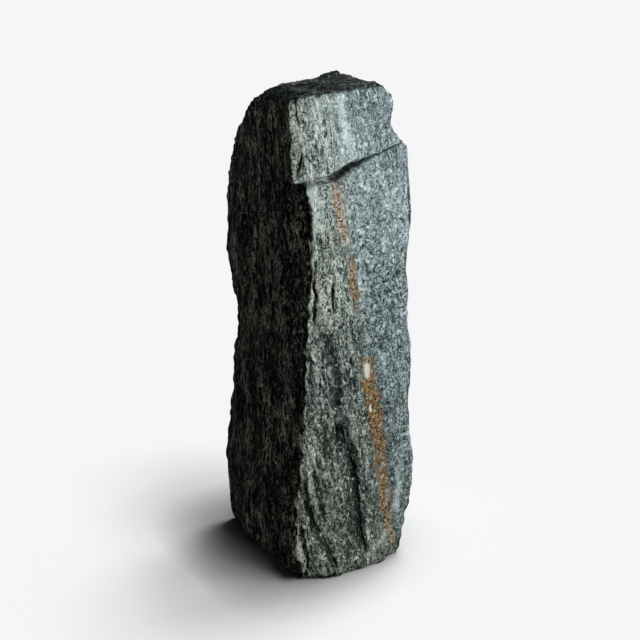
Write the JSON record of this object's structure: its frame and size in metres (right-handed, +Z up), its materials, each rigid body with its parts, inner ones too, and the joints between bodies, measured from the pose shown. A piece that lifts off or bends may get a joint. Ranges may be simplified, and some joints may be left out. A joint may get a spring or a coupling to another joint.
{
  "type": "garden stone monolith",
  "caption": "Upright split block of banded grey gneiss with a flat foot, an overhanging ledge near the top and a rusty vein down its bright face.",
  "frame": {"origin": "on the ground under the middle of the stone's box", "axes": "+Z up; the bright face with the vein looks along -Y, and the dark face along -X"},
  "size_m": [0.285, 0.3482, 0.968],
  "materials": {
    "gneiss": "rough split stone, dry, no gloss"
  },
  "bodies": {
    "root": {"monolith": "gneiss"}
  },
  "joints": []
}
